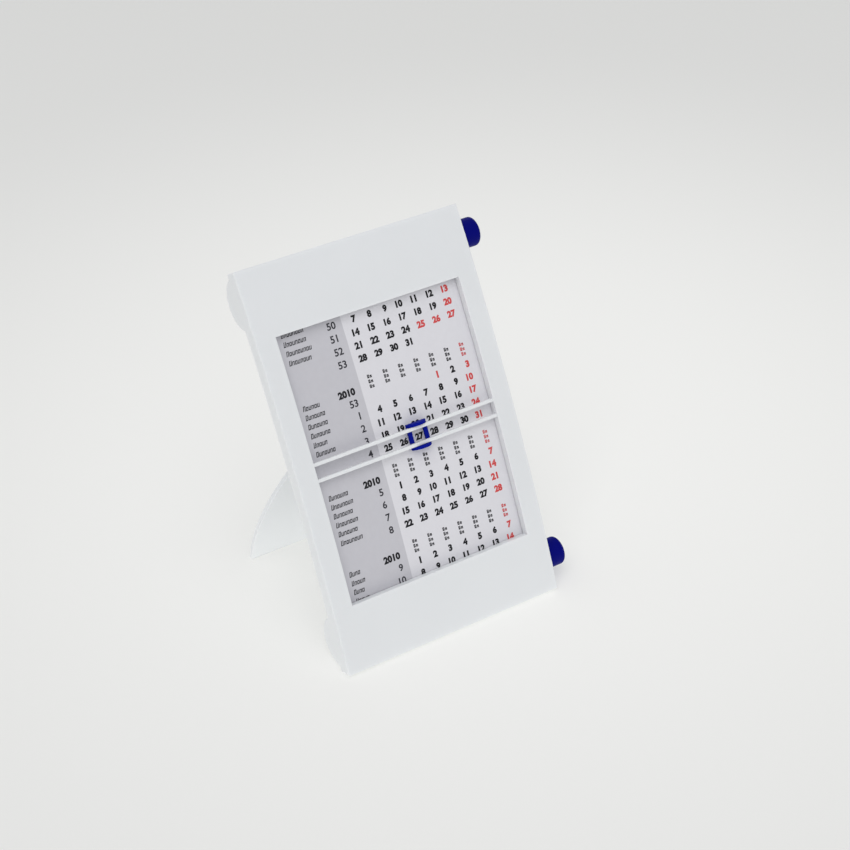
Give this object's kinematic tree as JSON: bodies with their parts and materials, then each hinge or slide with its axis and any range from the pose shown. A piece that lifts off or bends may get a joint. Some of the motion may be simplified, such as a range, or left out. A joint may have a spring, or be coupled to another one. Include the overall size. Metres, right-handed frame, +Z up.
{
  "type": "desk roller calendar",
  "caption": "Leaning desk calendar: bowed case with a window on a printed paper strip, wound by knobs between rollers, a sliding date cursor and a folding leg.",
  "frame": {"origin": "middle of the standing calendar's outline, on the surface that it stands on", "axes": "+Z up, +X to the reader's right along the rollers, and the case faces -Y"},
  "size_m": [0.1208, 0.1004, 0.1624],
  "materials": {
    "case": "satin moulded polystyrene, pale cool grey",
    "blue_trim": "glossy moulded plastic, ultramarine blue",
    "core": "plain moulded plastic, white",
    "strip": "smooth printed paper"
  },
  "bodies": {
    "case": {"front_cover": "case", "rear_cover": "case", "paper_web": "strip"},
    "cursor": {"date_cursor": "blue_trim"},
    "leg": {"stand_leg": "case"},
    "upper_spool": {"upper_roller": "core", "upper_knob": "blue_trim", "upper_end_plug": "core", "upper_paper_roll": "strip"},
    "lower_spool": {"lower_roller": "core", "lower_knob": "blue_trim", "lower_end_plug": "core", "lower_paper_roll": "strip"}
  },
  "joints": [
    {"name": "leg_fold", "type": "hinge", "parent": "case", "child": "leg", "pos_m": [-0.0054, 0.00496, 0.09913], "axis": [1, 0, 0], "range_deg": [-43, 0]},
    {"name": "lower_turn", "type": "hinge", "parent": "case", "child": "lower_spool", "pos_m": [-0.0054, -0.03683, 0.01137], "axis": [1, 0, 0], "continuous": true},
    {"name": "upper_turn", "type": "hinge", "parent": "case", "child": "upper_spool", "pos_m": [-0.0054, 0.03184, 0.14614], "axis": [1, 0, 0], "continuous": true},
    {"name": "cursor_slide", "type": "slide", "parent": "case", "child": "cursor", "axis": [1, 0, 0], "range_m": [-0.0471, 0.0335]}
  ],
  "couplings": [
    {"joint": "upper_turn", "follows": "lower_turn", "ratio": 1.5217}
  ]
}
